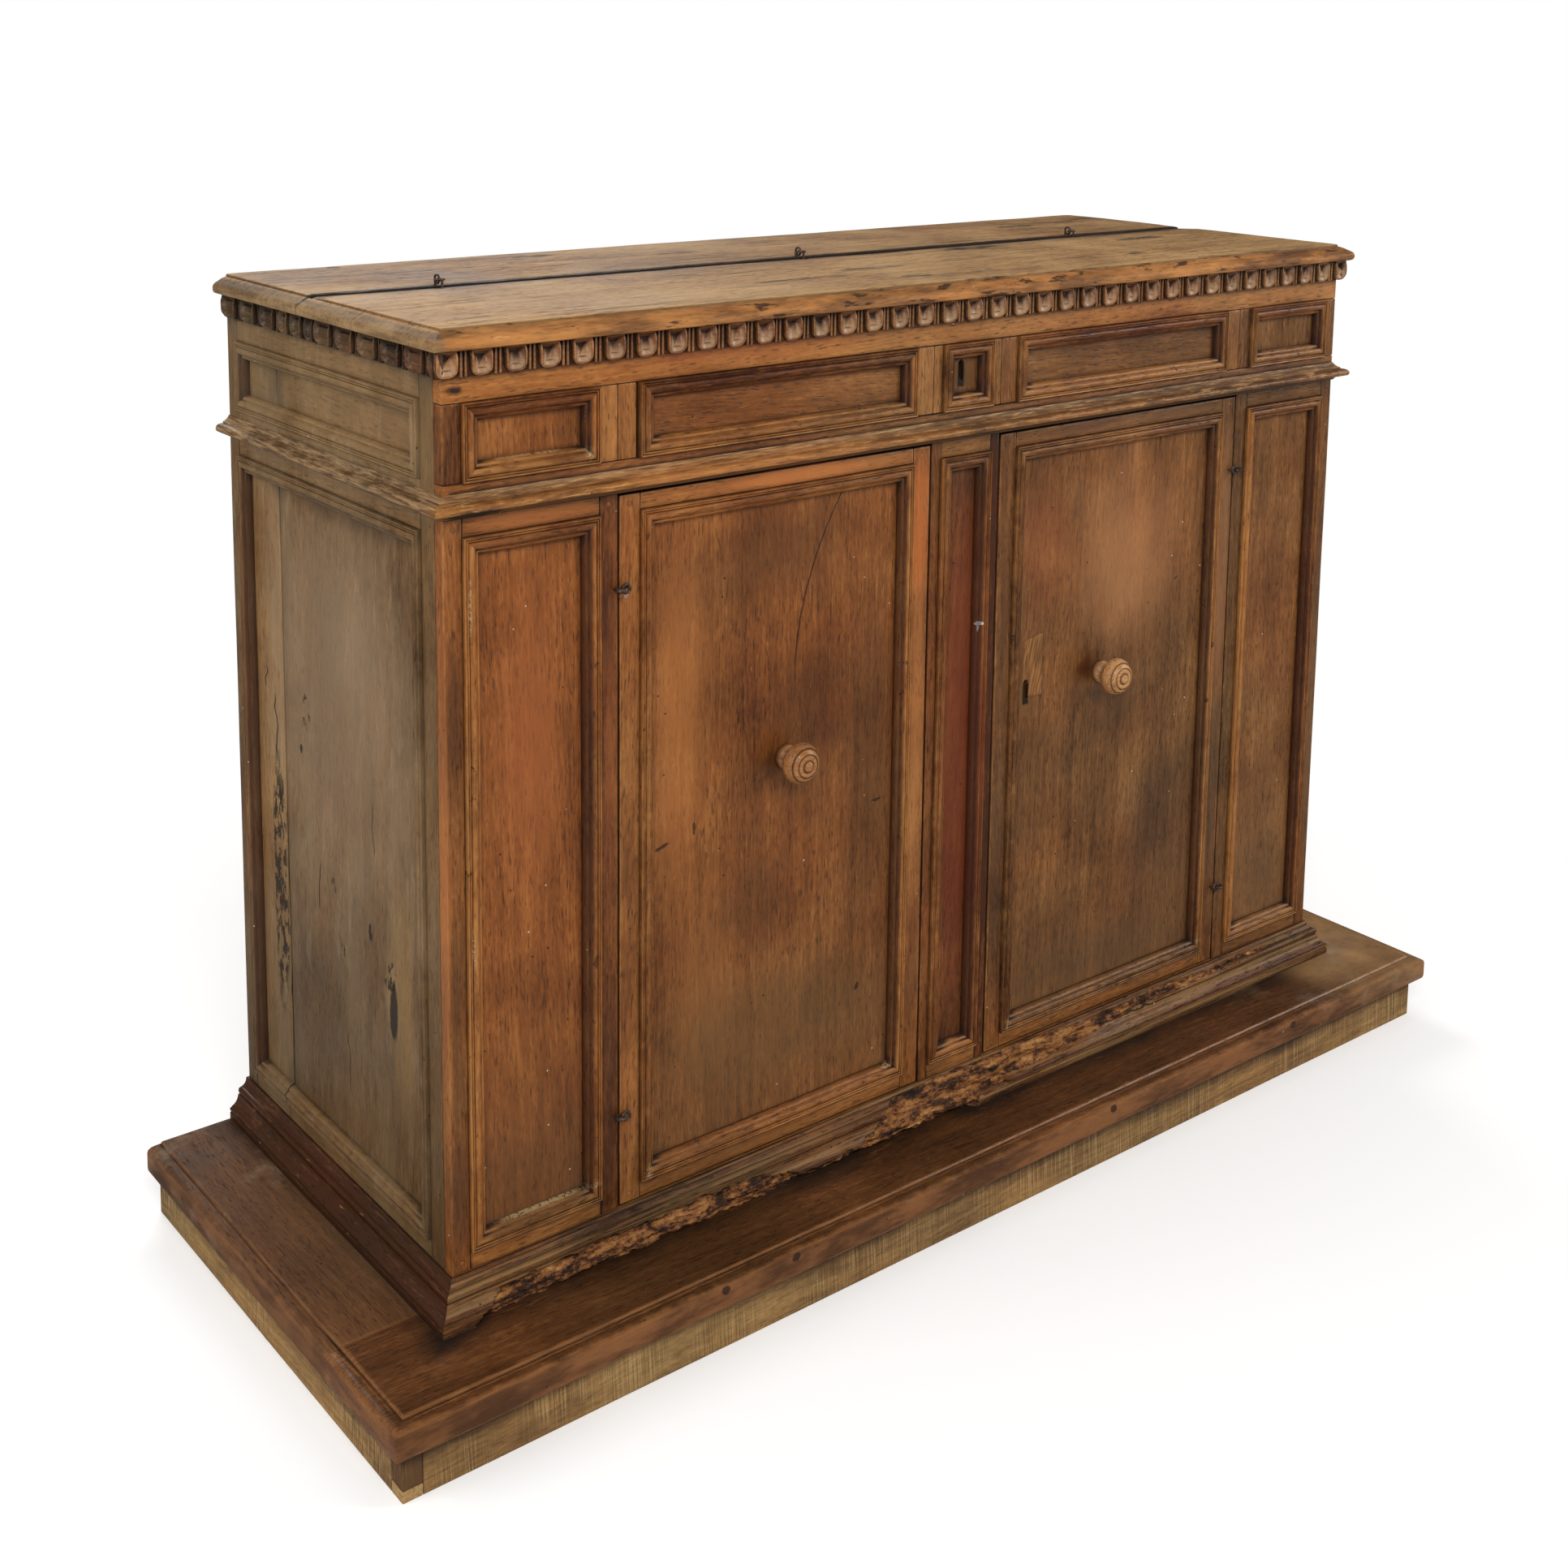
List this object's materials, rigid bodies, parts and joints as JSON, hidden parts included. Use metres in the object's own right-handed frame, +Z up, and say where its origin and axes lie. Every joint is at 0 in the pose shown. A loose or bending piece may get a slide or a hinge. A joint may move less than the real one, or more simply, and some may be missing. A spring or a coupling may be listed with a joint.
{
  "type": "credenza",
  "caption": "Low panelled walnut credenza on a wide platform, with hinged doors between narrow fixed panels, a carved strip under the top and a lid over a shallow well.",
  "frame": {"origin": "on the floor, under the middle of the platform", "axes": "+Z up, +X to the right along the front, +Y towards the back, so the doors face -Y"},
  "size_m": [1.766, 0.668, 1.2132],
  "materials": {
    "frame_walnut": "worn wax, satin",
    "panel_walnut": "worn wax, satin",
    "moulding_walnut": "worn wax, satin",
    "carved_walnut": "worn wax, satin",
    "top_walnut": "dry and bleached, matt",
    "turned_walnut": "worn, satin",
    "platform_walnut": "waxed, half gloss",
    "raw_pine": "unfinished, matt",
    "iron": "forged, dark and slightly rusty"
  },
  "bodies": {
    "carcase": {"platform_front_riser": "raw_pine", "platform_left_riser": "raw_pine", "platform_right_riser": "raw_pine", "platform_corner_post": "raw_pine", "platform_bearers": "raw_pine", "platform_front_board": "platform_walnut", "platform_left_board": "platform_walnut", "platform_right_board": "platform_walnut", "platform_rear_board": "raw_pine", "plinth_front": "moulding_walnut", "plinth_returns": "moulding_walnut", "waist_front": "moulding_walnut", "waist_returns": "moulding_walnut", "frieze_panels": "panel_walnut", "frieze_mouldings": "moulding_walnut", "front_top_rail": "frame_walnut", "front_waist_rail": "frame_walnut", "front_bottom_rail": "frame_walnut", "frieze_muntins": "frame_walnut", "left_fixed_frame": "frame_walnut", "right_fixed_frame": "frame_walnut", "fixed_panels": "panel_walnut", "fixed_panel_mouldings": "moulding_walnut", "centre_post": "frame_walnut", "left_side_frame": "frame_walnut", "left_side_panels": "panel_walnut", "left_side_mouldings": "moulding_walnut", "right_side_frame": "frame_walnut", "right_side_panels": "panel_walnut", "right_side_mouldings": "moulding_walnut", "bottom_board": "raw_pine", "shelf": "raw_pine", "well_floor": "raw_pine", "cleats": "raw_pine", "back_boards": "raw_pine", "rear_top_board": "top_walnut", "rear_carved_strips": "carved_walnut", "door_fixed_eyes": "iron", "lid_fixed_eyes": "iron", "lid_lock_case": "iron"},
    "lid": {"lid_board": "top_walnut", "lid_carved_front": "carved_walnut", "lid_carved_returns": "carved_walnut", "lid_moving_eyes": "iron", "lid_staple": "iron"},
    "lid_bolt": {"lid_lock_bolt": "iron"},
    "left_door": {"left_door_frame": "frame_walnut", "left_door_panel": "panel_walnut", "left_door_moulding": "moulding_walnut", "left_door_knob": "turned_walnut", "left_door_eyes": "iron", "turn_button_pin": "iron"},
    "right_door": {"right_door_frame": "frame_walnut", "right_door_panel": "panel_walnut", "right_door_moulding": "moulding_walnut", "right_door_knob": "turned_walnut", "right_door_eyes": "iron", "door_lock_case": "iron"},
    "door_bolt": {"door_lock_bolt": "iron"},
    "button": {"turn_button": "raw_pine"}
  },
  "joints": [
    {"name": "lid_lift", "type": "hinge", "parent": "carcase", "child": "lid", "pos_m": [0, 0.099, 1.207], "axis": [-1, 0, 0], "range_deg": [0, 100]},
    {"name": "left_door_swing", "type": "hinge", "parent": "carcase", "child": "left_door", "pos_m": [-0.526, -0.213, 0.5715], "axis": [0, 0, -1], "range_deg": [0, 110]},
    {"name": "right_door_swing", "type": "hinge", "parent": "carcase", "child": "right_door", "pos_m": [0.526, -0.213, 0.5715], "axis": [0, 0, 1], "range_deg": [0, 110]},
    {"name": "door_bolt_slide", "type": "slide", "parent": "right_door", "child": "door_bolt", "axis": [-1, 0, 0], "range_m": [0, 0.014]},
    {"name": "lid_bolt_slide", "type": "slide", "parent": "carcase", "child": "lid_bolt", "axis": [1, 0, 0], "range_m": [0, 0.018]},
    {"name": "button_turn", "type": "hinge", "parent": "left_door", "child": "button", "pos_m": [-0.076, -0.178, 0.643], "axis": [0, 1, 0], "range_deg": [0, 90]}
  ]
}
